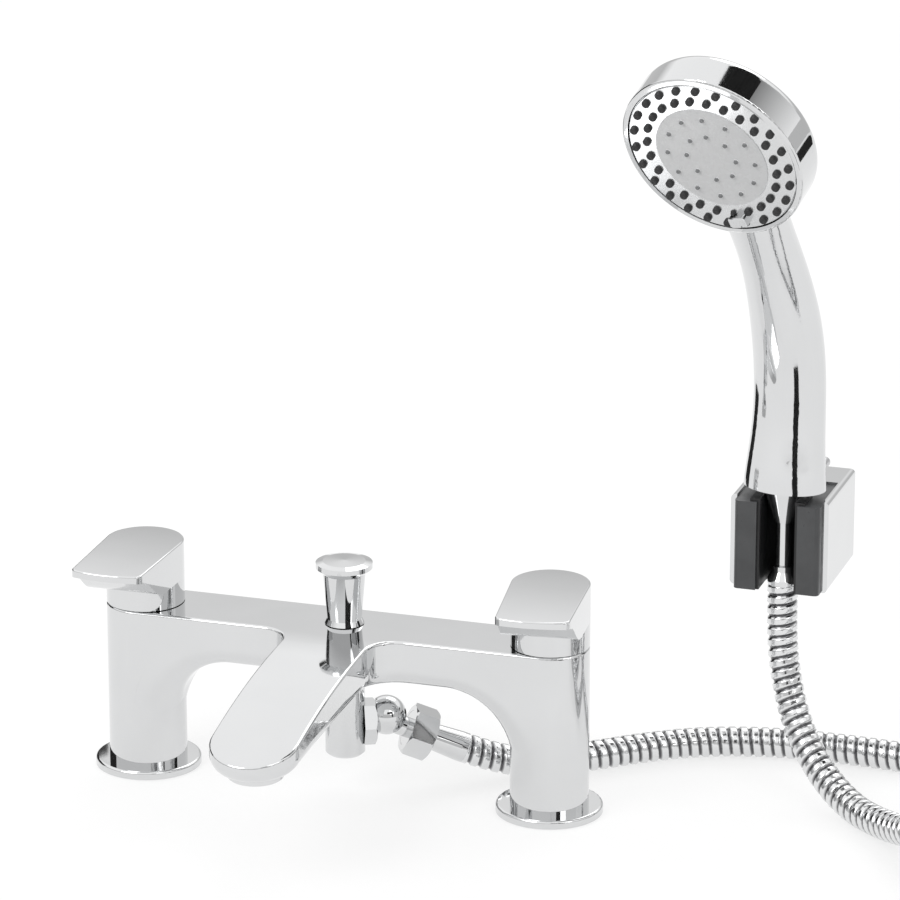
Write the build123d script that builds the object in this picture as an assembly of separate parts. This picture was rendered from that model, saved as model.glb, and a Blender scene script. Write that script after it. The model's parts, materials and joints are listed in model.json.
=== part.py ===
from build123d import *
import math
import os

os.makedirs("parts", exist_ok=True)

# Bath shower mixer for a bath deck: a one-piece bridge body with two quarter-turn levers, a flat spout,
# a lift diverter, and a ribbed hose to a hand shower that rests in a wall bracket.
# Frame: the origin lies on the deck midway between the tap holes. +X runs to the cold side,
# the spout points to -Y and the wall stands on the +Y side.

# Clearances
FIT = 0.05            # radial gap of a seated or running fit
GAP = 0.3             # gap between two moving bodies
OVERRUN = 4.0         # how far a cut runs past the solid

# Bridge body
PITCH = 180.0         # between the two tap holes
LEG_R = 16.7
TOP_Z = 73.9
BAR_H = 20.3
ARCH_R = 26.0
BAR_CORNER_R = 7.5
TOP_EDGE_R = 1.2
WEB_LAP = 0.3         # overlap of the web and the flat beside it
WEB_SINK = 0.5        # how far the web's end lies inside the leg
WEB_STATIONS = 5
WAY_R = 5.0           # water way along the bar
LEG_WAY_R = 7.0
WAY_DROP = 13.4       # centre of the water way below the top

# Base flanges and inlet tails
FLANGE_LIP = 6.0      # how far the flange stands out past the leg
FLANGE_T = 3.4
GASKET_INSET = 2.3
GASKET_T = 1.2
TAIL_R = 13.2
TAIL_BORE_R = 9.0
TAIL_GRIP = 15.0
TAIL_DROP = 48.0
TAIL_END_L = 12.5     # thread that takes the supply pipe
TAIL_RELIEF = 2.0
DECK_T = 20.0
NUT_FLATS = 36.0
NUT_T = 9.0
TAIL_WASHER_R = 20.0
TAIL_WASHER_T = 2.5

# Spout
SPOUT_HALF = 18.7
SPOUT_REACH = 112.5
SPOUT_LEAD = 1.0      # flat length ahead of the bar before the spout droops
SPOUT_TOP_R = 405.0
SPOUT_UNDER_R = 1237.0
SPOUT_ROOT_R = 13.0
CHANNEL_HALF = 10.0
CHANNEL_ROOF = 3.8
CHANNEL_FLOOR = 4.2
CHANNEL_START = 11.0
AERATOR_R = 9.8
AERATOR_FLANGE_R = 11.5
AERATOR_FLANGE_T = 2.3
AERATOR_DEPTH = 8.0
AERATOR_BORE_R = 8.4
AERATOR_LIP = 1.6
AERATOR_HOLE_R = 0.9
AERATOR_RING_COUNTS = (1, 6, 12)
AERATOR_RING_RADII = (0.0, 3.2, 6.2)

# Cartridges, one in each leg
CART_R = 11.0
CART_DEPTH = 24.0     # socket below the top
CART_FLATS = 20.0
CART_HEAD_T = 4.0
CART_NECK_R = 7.0
CART_NECK_H = 3.6
CART_SEAL_T = 2.0
CART_SEAL_BORE_R = 5.6
CART_RING_TUBE = 1.0
CART_RING_DROP = 4.2
DISC_R = 8.8
DISC_T = 3.0
DISC_PORT_R = 2.6
DISC_PORT_OUT = 4.6
WINDOW_W = 9.0
WINDOW_H = 6.5
SPINDLE_R = 4.0
SPINDLE_HEAD_T = 2.0
SPINDLE_TOP = 18.0    # above the top of the body

# Levers
LEVER_TOP_Z = 101.2
LEVER_REACH = 46.0
LEVER_BULGE = 2.6
LEVER_FRONT_HALF = 15.5
LEVER_CORNER_R = 3.5
LEVER_TIP_T = 2.4
LEVER_EDGE_R = 0.7
LEVER_CAVITY_R = 13.6
LEVER_CAVITY_H = 9.0
LEVER_ROOT_DROP = 16.2   # underside of the arm at the skirt, below the lever's top
LEVER_MID_DROP = 15.0
LEVER_MID_REACH = 25.0
SCREW_R = 2.0
SCREW_L = 10.5
SCREW_DROP = 13.0
COLD_REST_DEG = 7.0

# Diverter
DIV_Y = -1.5
KNOB_BASE_R = 8.3
KNOB_WAIST_R = 7.3
KNOB_NECK_R = 9.0
KNOB_CAP_R = 12.0
KNOB_WAIST_H = 2.1
KNOB_NECK_H = 22.0
KNOB_CAP_H = 24.6
KNOB_RIM_H = 2.2
KNOB_DOME_H = 1.0
KNOB_BORE_DEPTH = 19.0
ROD_R = 2.5
ROD_LOWER_Z = 26.0
CHAMBER_R = 7.0
CHAMBER_BOTTOM_Z = 54.5
CHAMBER_TOP_Z = 64.6
LAND_T = 1.3
LAND_BORE_R = 4.6
GLAND_R = 7.6
GLAND_T = 4.9
PORT_W = 8.0
PORT_H = 3.0
PLUNGER_R = 6.3
PLUNGER_T = 1.7
SEAL_R = 6.0
SEAL_T = 0.9
RING_TUBE = 0.8
BOSS_R = 8.5
BOSS_Z = 40.5
SPIGOT_R = 7.2
SPIGOT_H = 9.0
VALVE_BORE_R = 6.6
VALVE_BOTTOM_Z = 15.4
VALVE_FLOOR_T = 3.0
SPRING_R = 5.5        # to the middle of the wire
SPRING_WIRE_R = 0.45
SPRING_TURNS = 5
PLATE_R = 6.2
PLATE_T = 1.6
PLATE_HOLE_R = 1.1
PLATE_HOLES = 6

# Shower outlet: a collar and an elbow that turns down to the hose nut
OUT_TURN_DEG = 25.0   # from +X towards the wall
OUT_DROP_DEG = 23.0
OUT_Z = 29.0
OUT_WAY_R = 3.4
COLLAR_FLATS = 17.5
COLLAR_START = 7.6
COLLAR_END = 13.0
COLLAR_BORE_R = 5.0
ELBOW_R = 8.5
ELBOW_OUT = 17.6
ELBOW_Z = 31.6
NECK_R = 4.3
HOSE_NUT_FLATS = 20.0
HOSE_NUT_L = 11.0
HOSE_NUT_OUT = 31.7
HOSE_NUT_Z = 23.1
THREAD_R = 7.6
THREAD_L = 6.5
NUT_WALL = 2.0
FERRULE_FLANGE_T = 1.2
WASHER_T = 1.3
FERRULE_NECK_R = 5.3
FERRULE_L = 15.5      # outside the nut

# Hose
HOSE_R = 6.5
HOSE_BORE_R = 4.3
RIB_PITCH = 4.7
RIB_DEPTH = 0.9
RIB_TOP_SHARES = (0.25, 0.62)
RIB_VALLEY_SHARE = 0.88
REST_Z = 6.55         # centre line of a hose that lies on the deck
COIL_X = 328.0
COIL_Y = 12.0
COIL_OUTER_R = 74.4
COIL_STEP = 13.6      # from one turn to the next
COIL_LAYER = 13.55    # from one layer to the next
COIL_START_DEG = 90.0
COIL_END_DEG = 225.0
COIL_WHOLE_TURNS = 3
COIL_STATION_DEG = 90.0
COIL_PROBES = 600
HOSE_START_RUN = 13.0
COIL_APPROACH_RUN = 17.0
BEND_SHARE = 0.45

# Hand shower, laid out in its own frame: origin at the foot of the handle, facing -Y
HAND_X = 174.0
HAND_Y = 60.0
HAND_Z = 133.0
HAND_TURN_DEG = -12.4
# height, forward offset, half width, half depth of each handle section
HANDLE_HALVES = (18.3, 17.2, 15.9, 15.5, 13.6, 14.4, 13.0)
HANDLE_DEPTHS = (13.0, 12.6, 12.2, 12.0, 11.4, 10.2, 7.5)
HANDLE_UP_SHARES = (0.0, 0.0757, 0.2057, 0.4429, 0.6694, 0.795, 0.9211)
HANDLE_OUT_SHARES = (0.0, -0.0126, -0.0391, 0.0237, 0.258, 0.4533, 0.7113)
HANDLE_LEANS_DEG = (0.0, 4.0, 2.0, -14.0, -33.0, -38.0, -30.0)
HANDLE_WALL = 2.6
HANDLE_PLUG_H = 22.0
FACE_UP = 158.5
FACE_OUT = 71.7
FACE_TILT_DEG = 26.6
HEAD_R = 39.5
HEAD_RIM_T = 13.0
HEAD_DOME_R = 27.0
HEAD_DOME_H = 7.0
HEAD_WALL = 2.2
HEAD_EDGE_R = 1.0
RECESS_R = 37.0
PLATE_FACE_T = 2.2
MAT_T = 2.0
MAT_R = 35.8
NOZZLE_R = 1.25
NOZZLE_TIP_R = 0.8
NOZZLE_OUT = 1.3
OUTER_NOZZLE_RING = 34.0
INNER_NOZZLE_RING = 28.4
NOZZLES_IN_RING = 24
CENTRE_R = 24.5
CENTRE_T = 3.0
CENTRE_NOZZLE_R = 1.1
CENTRE_RING_COUNTS = (12, 8)
CENTRE_RING_RADII = (19.5, 11.0)
TAB_RING = 31.3
TAB_W = 8.0
TAB_L = 5.0
TAB_H = 4.2
TAB_AT_DEG = -78.0
DISTRIBUTOR_R = 36.4
DISTRIBUTOR_T = 3.0
DISTRIBUTOR_HOLES = 8
DISTRIBUTOR_HOLE_R = 2.4
DISTRIBUTOR_HOLE_RING = 22.0
FACE_SCREW_R = 2.2
FACE_SCREW_HEAD_R = 4.2
FACE_SCREW_HEAD_T = 1.4
FACE_SEAL_RING = 33.0
FACE_SEAL_TUBE = 0.7

# Foot of the handle, the cone nut and the upper hose end
FOOT_RECESS_R = 10.4
FOOT_RECESS_H = 10.2
INLET_R = 8.6
INLET_BORE_R = 4.6
SPIGOT_FOOT_R = 7.6
CONE_TOP_R = 9.3
CONE_FOOT_R = 4.4
CONE_TOP_Z = -1.0
CONE_H = 14.4
CONE_SKIRT_H = 9.6
CONE_FLOOR = 5.5      # thickness under the ferrule flange
STEM_R = 3.3
STEM_BORE_R = 2.2
STEM_END_Z = -35.0
STEM_RING_R = 4.6
STEM_RING_T = 2.3
HOSE_TOP_Z = -43.0

# Wall bracket
BRACKET_W = 42.0
BRACKET_TOP = -3.0    # below the foot of the handle
BRACKET_H = 40.0
CHEEK_T = 2.6
CHEEK_FRONT = 8.0     # forward of the hose axis
WALL_OUT = 39.0       # from the hose axis to the wall
BLOCK_T = 20.0
BLOCK_EDGE_R = 2.0
JAW_FRONT = 13.0
JAW_BACK = 18.0
SLOT_HALF = 8.75
LINER_T = 1.2
LIP_T = 1.2
LIP_W = 3.0
WALL_SCREW_R = 2.4
WALL_SCREW_L = 44.0
WALL_SCREW_HEAD_R = 4.4
WALL_SCREW_HEAD_T = 2.6
WALL_SCREW_SPREAD = 22.0
WALL_SCREW_SEAT = 8.0    # depth of the head below the front of the block

# Route of the hose from the mixer to the coil
MIXER_RUN = [
    (70.2, 32.6, 6.55),
    (94.0, 47.0, 6.55),
    (113.0, 64.0, 6.55),
    (137.0, 79.5, 6.55),
    (168.0, 88.0, 6.55),
    (203.0, 88.5, 6.55),
    (240.0, 85.0, 6.55),
    (275.0, 86.9, 6.55),
    (310.0, 86.4, 6.55),
]
# Route of the hose from the bracket down to the deck and on to the coil
HANDSET_RUN = [
    (174.0, 60.0, 75.0),
    (175.1, 58.9, 58.1),
    (179.7, 54.8, 39.1),
    (188.7, 46.8, 23.1),
    (201.2, 35.9, 11.9),
    (215.7, 23.2, 6.55),
    (228.6, 11.3, 7.0),
    (240.1, -1.1, 10.0),
    (251.3, -14.7, 15.4),
]

# Places worked out from the sizes above
LEG_X = PITCH / 2
FLANGE_R = LEG_R + FLANGE_LIP
GASKET_R = FLANGE_R - GASKET_INSET
SPOUT_START = LEG_R + SPOUT_LEAD
BAR_Z = TOP_Z - BAR_H
ARCH_X = LEG_X - LEG_R - ARCH_R
ARCH_Z = BAR_Z - ARCH_R
WAY_Z = TOP_Z - WAY_DROP
CART_SEAT_Z = TOP_Z - CART_DEPTH
LEVER_Z = TOP_Z + GAP
SIDES = {"hot": -1, "cold": 1}

nodes = {}


def rod(radius, z0, z1, x=0.0, y=0.0):
    """Upright cylinder from z0 to z1."""
    return Pos(x, y, (z0 + z1) / 2) * Cylinder(radius, z1 - z0)


def tube(outer, inner, z0, z1, x=0.0, y=0.0):
    """Upright ring from z0 to z1."""
    return rod(outer, z0, z1, x, y) - rod(inner, z0 - OVERRUN, z1 + OVERRUN, x, y)


def slab(x0, x1, y0, y1, z0, z1):
    """Box between two corners."""
    middle = Pos((x0 + x1) / 2, (y0 + y1) / 2, (z0 + z1) / 2)
    return middle * Box(x1 - x0, y1 - y0, z1 - z0)


def hexagon(flats, z0, z1):
    """Upright hexagonal prism, measured across its flats."""
    outline = RegularPolygon(flats / 2, 6, major_radius=False)
    return Pos(0, 0, z0) * extrude(outline, z1 - z0)


def turned(profile):
    """Solid of revolution about Z from (radius, height) points."""
    outline = make_face(Polyline(*[(r, 0, z) for r, z in profile], close=True))
    return revolve(outline, Axis.Z)


def chamfered_hexagon(flats, z0, z1):
    """Hexagon whose corners are turned down on both ends."""
    corner = flats / math.sqrt(3)
    drop = (corner - flats / 2) * 0.6
    cone = turned([(0, z0), (flats / 2, z0), (corner, z0 + drop), (corner, z1 - drop), (flats / 2, z1), (0, z1)])
    return hexagon(flats, z0, z1) & cone


# Bridge body
def side_profile(top_z, under_z, reach):
    """Side view of the bar and spout: flat over the bar, then both edges droop along arcs."""
    start = -SPOUT_START
    run = reach - SPOUT_START
    top_end = top_z - (SPOUT_TOP_R - math.sqrt(SPOUT_TOP_R**2 - run**2))
    under_end = under_z - (SPOUT_UNDER_R - math.sqrt(SPOUT_UNDER_R**2 - run**2))
    edges = [
        Line((LEG_R, top_z), (start, top_z)),
        TangentArc((start, top_z), (-reach, top_end), tangent=(-1, 0)),
        Line((-reach, top_end), (-reach, under_end)),
        TangentArc((start, under_z), (-reach, under_end), tangent=(-1, 0)),
        Line((start, under_z), (LEG_R, under_z)),
        Line((LEG_R, under_z), (LEG_R, top_z)),
    ]
    return make_face(edges)


def side_band(top_z, under_z, reach, half):
    """The side view made as wide as the spout."""
    return extrude(Plane.YZ * side_profile(top_z, under_z, reach), half, both=True)


def outline_of(faces):
    """Edges round the faces, without those that two of the faces share."""
    edges = [e for f in faces for e in f.edges()]
    return [e for e in edges if sum(e.is_same(other) for other in edges) == 1]


def bar_and_spout():
    bar = Rectangle(2 * ARCH_X, 2 * LEG_R)
    spout = Pos(0, -SPOUT_REACH / 2) * Rectangle(2 * SPOUT_HALF, SPOUT_REACH)
    plan = bar + spout + Pos(0, -SPOUT_REACH) * Circle(SPOUT_HALF)
    roots = [v for v in plan.vertices() if abs(abs(v.X) - SPOUT_HALF) < FIT and abs(v.Y + LEG_R) < FIT]
    plan = fillet(roots, SPOUT_ROOT_R)
    blank = Pos(0, 0, ARCH_Z) * extrude(plan, PITCH)
    reach = SPOUT_REACH + SPOUT_HALF + OVERRUN
    body = blank & side_band(TOP_Z, BAR_Z, reach, ARCH_X + OVERRUN)
    under = [f for f in body.faces() if f.normal_at().Z < -0.5]
    lower = [e for e in outline_of(under) if abs(e.center().X) < ARCH_X - FIT]
    return fillet(lower, BAR_CORNER_R)


def web_section(angle_deg, corner, sink):
    """D-shaped section of the web, square to the arch, at one turn of the arch."""
    inner = ARCH_R + sink
    outer = ARCH_R + LEG_R + WEB_LAP
    half = LEG_R - sink
    bend = 1 - math.sqrt(0.5)
    edges = [
        Line((outer, -half), (outer, half)),
        Line((outer, half), (inner + corner, half)),
        ThreePointArc(
            (inner + corner, half),
            (inner + corner * bend, half - corner * bend),
            (inner, half - corner),
        ),
        Line((inner, half - corner), (inner, corner - half)),
        ThreePointArc(
            (inner, corner - half),
            (inner + corner * bend, corner * bend - half),
            (inner + corner, -half),
        ),
        Line((inner + corner, -half), (outer, -half)),
    ]
    turn = math.radians(angle_deg)
    out = Vector(math.sin(turn), 0, math.cos(turn))
    along = Vector(math.cos(turn), 0, -math.sin(turn))
    plane = Plane(origin=(ARCH_X, 0, ARCH_Z), x_dir=out, z_dir=along)
    return plane * make_face(edges)


def cold_web():
    """Curved corner between the bar and the cold leg, whose lower edge grows rounder towards the leg."""
    sections = []
    for i in range(WEB_STATIONS):
        share = i / (WEB_STATIONS - 1)
        corner = BAR_CORNER_R + (LEG_R - WEB_SINK - WEB_LAP - BAR_CORNER_R) * share**2
        sections.append(web_section(90 * share, corner, WEB_SINK * share**8))
    web = loft(sections)
    corner_fill = slab(ARCH_X, LEG_X, -LEG_R, LEG_R, ARCH_Z, TOP_Z)
    hollow = Pos(ARCH_X, 0, ARCH_Z) * Rot(90, 0, 0) * Cylinder(ARCH_R + LEG_R, 2 * LEG_R + OVERRUN)
    return web + (corner_fill - hollow)


def mixer_body():
    web = cold_web()
    body = bar_and_spout() + web + mirror(web, Plane.YZ)
    for side in SIDES.values():
        body += rod(LEG_R, FLANGE_T, TOP_Z, side * LEG_X)
    upper = [e for e in body.edges() if e.bounding_box().max.Z > BAR_Z + BAR_H / 3]
    rim = [e for e in upper if abs(e.bounding_box().min.Z - TOP_Z) < FIT or e.center().Y < -LEG_R - OVERRUN]
    rim = [e for e in rim if abs(e.tangent_at(0.5).Z) < 0.5]
    body = fillet(rim, TOP_EDGE_R)
    body += rod(BOSS_R, BOSS_Z, BAR_Z + OVERRUN, 0, DIV_Y)
    channel_plan = Pos(0, -(CHANNEL_START + SPOUT_REACH) / 2) * Rectangle(
        2 * CHANNEL_HALF, SPOUT_REACH - CHANNEL_START
    )
    channel_plan += Pos(0, -SPOUT_REACH) * Circle(CHANNEL_HALF)
    channel = Pos(0, 0, ARCH_Z) * extrude(channel_plan, PITCH)
    reach = SPOUT_REACH + SPOUT_HALF
    channel &= side_band(TOP_Z - CHANNEL_ROOF, BAR_Z + CHANNEL_FLOOR, reach, SPOUT_HALF)
    body -= channel & slab(-SPOUT_HALF, SPOUT_HALF, -PITCH, -CHAMBER_R - LEG_R / 2, ARCH_Z, TOP_Z)
    body -= rod(AERATOR_R, ARCH_Z, aerator_under() + AERATOR_DEPTH, 0, -SPOUT_REACH)
    body -= slab(
        -PORT_W / 2,
        PORT_W / 2,
        -CHAMBER_R - LEG_R / 2 - OVERRUN / 4,
        DIV_Y,
        CHAMBER_TOP_Z + LAND_T,
        CHAMBER_TOP_Z + LAND_T + PORT_H,
    )
    body -= rod(SPIGOT_R + FIT, BOSS_Z - OVERRUN, BOSS_Z + SPIGOT_H + FIT, 0, DIV_Y)
    body -= rod(LAND_BORE_R, BOSS_Z, TOP_Z, 0, DIV_Y)
    body -= rod(CHAMBER_R, CHAMBER_BOTTOM_Z, CHAMBER_TOP_Z, 0, DIV_Y)
    body -= rod(CHAMBER_R, CHAMBER_TOP_Z + LAND_T, TOP_Z - GLAND_T, 0, DIV_Y)
    body -= rod(GLAND_R + FIT, TOP_Z - GLAND_T, TOP_Z + OVERRUN, 0, DIV_Y)
    for side in SIDES.values():
        x = side * LEG_X
        body -= rod(CART_R + FIT, CART_SEAT_Z, TOP_Z + OVERRUN, x)
        body -= rod(LEG_WAY_R, FLANGE_T, CART_SEAT_Z + FIT, x)
        body -= rod(TAIL_R + FIT, 0, FLANGE_T + TAIL_GRIP, x)
        way = Pos(x / 2, 0, WAY_Z) * Rot(0, 90, 0) * Cylinder(WAY_R, LEG_X - CART_R)
        body -= way
        body -= Pos(side * (CHAMBER_R / 2 + LEG_R / 2), 0, WAY_Z) * Rot(0, 90, 0) * Cylinder(WAY_R, LEG_R)
    return body


def aerator_under():
    """Height of the underside of the spout at the aerator."""
    run = SPOUT_REACH - SPOUT_START
    return BAR_Z - (SPOUT_UNDER_R - math.sqrt(SPOUT_UNDER_R**2 - run**2))


def make_aerator():
    under = aerator_under()
    lip_z = under - AERATOR_LIP * 0.6
    body = rod(AERATOR_R - FIT, lip_z - FIT, under + AERATOR_DEPTH - FIT)
    flange = rod(AERATOR_FLANGE_R, lip_z - AERATOR_FLANGE_T, lip_z)
    flange = chamfer(flange.edges().sort_by(Axis.Z)[0], AERATOR_FLANGE_T / 4)
    body += flange
    top = under + AERATOR_DEPTH - AERATOR_LIP
    body -= rod(AERATOR_BORE_R, lip_z - AERATOR_FLANGE_T - OVERRUN, top)
    body -= rod(AERATOR_BORE_R - AERATOR_LIP, 0, under + AERATOR_DEPTH + OVERRUN)
    nodes["aerator_housing"] = Pos(0, -SPOUT_REACH) * body
    screen = rod(AERATOR_BORE_R - FIT, lip_z - AERATOR_FLANGE_T / 3, top)
    for count, ring in zip(AERATOR_RING_COUNTS, AERATOR_RING_RADII):
        for i in range(count):
            turn = math.radians(360 * i / count)
            x = ring * math.cos(turn)
            y = ring * math.sin(turn)
            screen -= rod(AERATOR_HOLE_R, lip_z - AERATOR_FLANGE_T, top + OVERRUN, x, y)
    nodes["aerator_insert"] = Pos(0, -SPOUT_REACH) * screen


# Base flanges, gaskets, inlet tails and what clamps them under the deck
def make_base(name, side):
    x = side * LEG_X
    flange = tube(FLANGE_R, TAIL_R + FIT, 0, FLANGE_T)
    flange = fillet(flange.edges().filter_by(GeomType.CIRCLE).group_by(Axis.Z)[-1].sort_by(SortBy.LENGTH)[-1],
                    FLANGE_T / 3)
    flange -= rod(GASKET_R + FIT, -OVERRUN, GASKET_T)
    nodes[name + "_base_flange"] = Pos(x) * flange
    nodes[name + "_base_gasket"] = Pos(x) * tube(GASKET_R, TAIL_R + FIT, 0, GASKET_T)
    tail = tube(TAIL_R, TAIL_BORE_R, -TAIL_DROP, FLANGE_T + TAIL_GRIP - FIT)
    relief_z = TAIL_END_L - TAIL_DROP
    tail -= tube(TAIL_R + OVERRUN, TAIL_R - TAIL_RELIEF / 2, relief_z, relief_z + TAIL_RELIEF)
    nodes[name + "_inlet_tail"] = Pos(x) * tail


def make_deck_nuts():
    washer_z = -DECK_T
    nuts = []
    washers = []
    for side in SIDES.values():
        nut = chamfered_hexagon(NUT_FLATS, washer_z - TAIL_WASHER_T - NUT_T, washer_z - TAIL_WASHER_T)
        nut -= rod(TAIL_R + FIT, -PITCH, 0)
        nuts.append(Pos(side * LEG_X) * nut)
        washers.append(Pos(side * LEG_X) * tube(TAIL_WASHER_R, TAIL_R + FIT, washer_z - TAIL_WASHER_T, washer_z))
    nodes["tail_backnuts"] = Compound(children=nuts)
    nodes["tail_washers"] = Compound(children=washers)


# Cartridges: a seal, a fixed and a moving ceramic disc, the body and the spindle that the lever turns
def make_cartridge(name, side):
    x = side * LEG_X
    seat = CART_SEAT_Z
    fixed_z = seat + CART_SEAL_T
    moving_z = fixed_z + DISC_T
    head_z = moving_z + DISC_T
    chamber_top = head_z + SPINDLE_HEAD_T + GAP
    body = rod(CART_R, fixed_z, TOP_Z)
    body += chamfered_hexagon(CART_FLATS, TOP_Z, TOP_Z + CART_HEAD_T)
    body += rod(CART_NECK_R, TOP_Z, TOP_Z + CART_HEAD_T + CART_NECK_H)
    body -= rod(DISC_R + FIT, fixed_z - OVERRUN, chamber_top)
    body -= rod(SPINDLE_R + FIT, fixed_z, LEVER_TOP_Z)
    window_z = chamber_top
    body -= slab(-CART_R - OVERRUN, CART_R + OVERRUN, -WINDOW_W / 2, WINDOW_W / 2, head_z, head_z + WINDOW_H)
    body -= rod(DISC_R + FIT, head_z, window_z + WINDOW_H - SPINDLE_HEAD_T)
    ring_z = TOP_Z - CART_RING_DROP
    groove = CART_RING_TUBE + FIT
    groove = tube(CART_R + OVERRUN, CART_R - CART_RING_TUBE - groove, ring_z - groove, ring_z + groove)
    nodes[name + "_cartridge_body"] = Pos(x) * (body - groove)
    nodes[name + "_cartridge_o_ring"] = Pos(x, 0, ring_z) * Torus(CART_R - CART_RING_TUBE, CART_RING_TUBE)
    nodes[name + "_seat_seal"] = Pos(x) * tube(CART_R - FIT, CART_SEAL_BORE_R, seat, fixed_z)
    ports = Pos(DISC_PORT_OUT, 0, fixed_z + DISC_T) * Cylinder(DISC_PORT_R, 4 * DISC_T)
    ports += Pos(-DISC_PORT_OUT, 0, fixed_z + DISC_T) * Cylinder(DISC_PORT_R, 4 * DISC_T)
    nodes[name + "_fixed_disc"] = Pos(x) * (rod(DISC_R, fixed_z, moving_z) - ports)
    nodes[name + "_moving_disc"] = Pos(x) * (rod(DISC_R, moving_z, head_z) - Rot(0, 0, 90) * ports)
    spindle = rod(SPINDLE_R, head_z, TOP_Z + SPINDLE_TOP) + rod(DISC_R - GAP, head_z, head_z + SPINDLE_HEAD_T)
    top_edge = spindle.edges().group_by(Axis.Z)[-1]
    nodes[name + "_spindle"] = Pos(x) * chamfer(top_edge, SPINDLE_R / 6)


# Levers: a round skirt with a level blade whose underside sweeps up to a thin tip
def lever_plan():
    """Plan of the lever: the skirt's circle and two sides drawn in to a bowed front."""
    far = math.hypot(LEVER_FRONT_HALF, LEVER_REACH)
    turn = math.atan2(-LEVER_REACH, LEVER_FRONT_HALF) + math.acos(LEG_R / far)
    side_x = LEG_R * math.cos(turn)
    side_y = LEG_R * math.sin(turn)
    front = LEVER_FRONT_HALF
    edges = [
        Line((side_x, side_y), (front, -LEVER_REACH)),
        ThreePointArc((front, -LEVER_REACH), (0, -LEVER_REACH - LEVER_BULGE), (-front, -LEVER_REACH)),
        Line((-front, -LEVER_REACH), (-side_x, side_y)),
        ThreePointArc((-side_x, side_y), (0, LEG_R), (side_x, side_y)),
    ]
    plan = make_face(edges)
    return fillet(plan.vertices().group_by(Axis.Y)[0], LEVER_CORNER_R)


def blade_band():
    """Side view of the blade: level on top, with an underside that sweeps from the skirt to the tip."""
    tip = LEVER_REACH + LEVER_BULGE + OVERRUN
    under = Spline(
        (-LEG_R + LEVER_BULGE, LEVER_TOP_Z - LEVER_ROOT_DROP),
        (-LEVER_MID_REACH, LEVER_TOP_Z - LEVER_MID_DROP),
        (-(LEVER_MID_REACH + LEVER_REACH) / 2, LEVER_TOP_Z - LEVER_MID_DROP / 2),
        (-tip, LEVER_TOP_Z - LEVER_TIP_T),
        tangents=[(-1, 0), (-1, 0.12)],
    )
    edges = [
        under,
        Line((-tip, LEVER_TOP_Z - LEVER_TIP_T), (-tip, LEVER_TOP_Z)),
        Line((-tip, LEVER_TOP_Z), (LEG_R + OVERRUN, LEVER_TOP_Z)),
        Line((LEG_R + OVERRUN, LEVER_TOP_Z), (LEG_R + OVERRUN, LEVER_TOP_Z - LEVER_ROOT_DROP)),
        Line((LEG_R + OVERRUN, LEVER_TOP_Z - LEVER_ROOT_DROP), (-LEG_R + LEVER_BULGE, LEVER_TOP_Z - LEVER_ROOT_DROP)),
    ]
    return extrude(Plane.YZ * make_face(edges), LEG_R + OVERRUN, both=True)


def make_lever(name, side):
    blade = Pos(0, 0, LEVER_Z) * extrude(lever_plan(), LEVER_TOP_Z - LEVER_Z)
    blade &= blade_band()
    skirt = rod(LEG_R, LEVER_Z, LEVER_TOP_Z - LEVER_ROOT_DROP / 2)
    lever = blade + skirt
    rim = [e for e in lever.edges() if e.bounding_box().min.Z > LEVER_TOP_Z - FIT]
    lever = fillet(rim, LEVER_EDGE_R)
    lever -= rod(LEVER_CAVITY_R, LEVER_Z - OVERRUN, LEVER_Z + LEVER_CAVITY_H)
    lever -= rod(SPINDLE_R + FIT, LEVER_Z, TOP_Z + SPINDLE_TOP + FIT)
    screw_z = LEVER_TOP_Z - SCREW_DROP
    screw_start = SPINDLE_R
    hole = Pos(0, screw_start + PITCH / 2, screw_z) * Rot(90, 0, 0) * Cylinder(SCREW_R + FIT, PITCH)
    lever -= hole
    screw = Pos(0, screw_start + SCREW_L / 2, screw_z) * Rot(90, 0, 0) * Cylinder(SCREW_R, SCREW_L)
    socket = Pos(0, screw_start + SCREW_L, screw_z) * Rot(90, 0, 0) * extrude(
        RegularPolygon(SCREW_R / 2, 6, major_radius=False), SCREW_L / 4, both=True
    )
    rest = COLD_REST_DEG if side > 0 else 0.0
    place = Pos(side * LEG_X) * Rot(0, 0, rest)
    nodes[name + "_lever"] = place * lever
    nodes[name + "_lever_screw"] = place * (screw - socket)


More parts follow.
